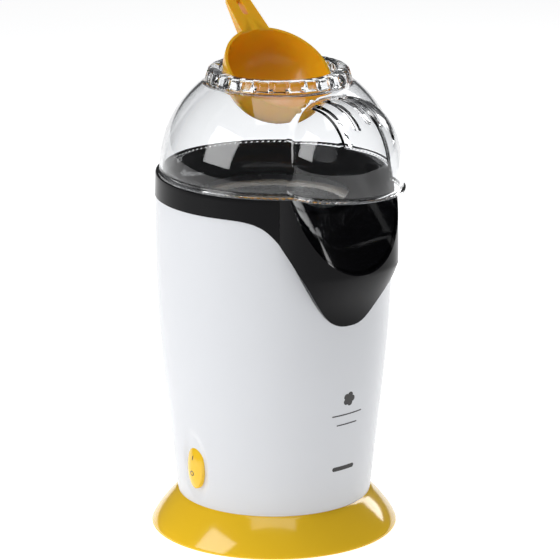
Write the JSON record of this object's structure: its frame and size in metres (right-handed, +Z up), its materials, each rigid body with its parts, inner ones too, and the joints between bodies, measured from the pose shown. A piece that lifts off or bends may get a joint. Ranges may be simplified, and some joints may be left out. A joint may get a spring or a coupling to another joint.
{
  "type": "popcorn maker",
  "caption": "Hot-air popcorn maker: barrel-shaped body on a flared foot, black collar with a pouring spout, clear domed lid with a hood and steam slots, and a tilted measuring scoop.",
  "frame": {"origin": "on the table, on the body's axis, at the height of the rubber feet's undersides", "axes": "+Z up, -Y towards the spout, -X towards the switch side"},
  "size_m": [0.156, 0.1812, 0.3331],
  "materials": {
    "yellow_plastic": "glossy moulded yellow",
    "grey_plastic": "textured dark grey",
    "foot_rubber": "soft black rubber",
    "screw_steel": "zinc plated",
    "white_plastic": "satin gloss white",
    "bush_rubber": "black grommet rubber",
    "black_plastic": "high gloss black",
    "cup_aluminium": "drawn aluminium",
    "silicone": "white silicone",
    "shield_steel": "bright sheet steel",
    "mica_board": "layered mica",
    "heater_alloy": "oxidised resistance wire",
    "thermostat_metal": "plain steel cap",
    "fuse_sleeve": "woven glass sleeve",
    "duct_plastic": "heat proof black plastic",
    "fan_nylon": "natural nylon",
    "motor_steel": "nickel plated",
    "cap_plastic": "ivory plastic",
    "bearing_bronze": "sintered bronze",
    "ferrite": "ferrite magnet",
    "armature_steel": "laminated steel and enamelled wire",
    "shaft_steel": "ground steel",
    "terminal_brass": "plated brass",
    "board_laminate": "circuit board",
    "diode_epoxy": "black epoxy",
    "block_plastic": "natural nylon",
    "lead_silicone": "insulated wire",
    "frame_plastic": "plain plastic",
    "switch_plastic": "black plastic",
    "clear_plastic": "clear moulded plastic",
    "orange_plastic": "glossy translucent orange-yellow"
  },
  "bodies": {
    "base": {"base_ring": "yellow_plastic", "base_plate": "grey_plastic", "rubber_feet": "foot_rubber", "case_screws": "screw_steel", "body_housing": "white_plastic", "cord_bush": "bush_rubber", "collar_ring": "black_plastic", "spout_chute": "black_plastic", "collar_screws": "screw_steel", "popping_chamber": "cup_aluminium", "chamber_gasket": "silicone", "chamber_screws": "screw_steel", "heat_shield": "shield_steel", "mica_frame": "mica_board", "heater_coils": "heater_alloy", "thermostat": "thermostat_metal", "thermal_fuse": "fuse_sleeve", "fan_housing": "duct_plastic", "duct_screws": "screw_steel", "motor_can": "motor_steel", "motor_end_cap": "cap_plastic", "motor_bearings": "bearing_bronze", "motor_magnets": "ferrite", "motor_screws": "screw_steel", "motor_terminals": "terminal_brass", "rectifier_board": "board_laminate", "rectifier_diodes": "diode_epoxy", "terminal_block": "block_plastic", "inner_leads": "lead_silicone", "switch_frame": "frame_plastic", "switch_block": "switch_plastic"},
    "fan": {"motor_shaft": "shaft_steel", "motor_armature": "armature_steel", "fan_impeller": "fan_nylon"},
    "rocker": {"switch_rocker": "yellow_plastic"},
    "lid": {"dome_lid": "clear_plastic"},
    "scoop": {"measuring_scoop": "orange_plastic"}
  },
  "joints": [
    {"name": "lid_lift", "type": "slide", "parent": "base", "child": "lid", "axis": [0, 0, 1], "range_m": [0, 0.12]},
    {"name": "scoop_lift", "type": "slide", "parent": "lid", "child": "scoop", "axis": [0, 0, 1], "range_m": [0, 0.08]},
    {"name": "switch_rock", "type": "hinge", "parent": "base", "child": "rocker", "pos_m": [-0.05683, 0, 0.049], "axis": [0, -1, 0], "range_deg": [0, 8]},
    {"name": "fan_spin", "type": "hinge", "parent": "base", "child": "fan", "pos_m": [0, 0, 0.085], "axis": [0, 0, 1], "continuous": true}
  ]
}
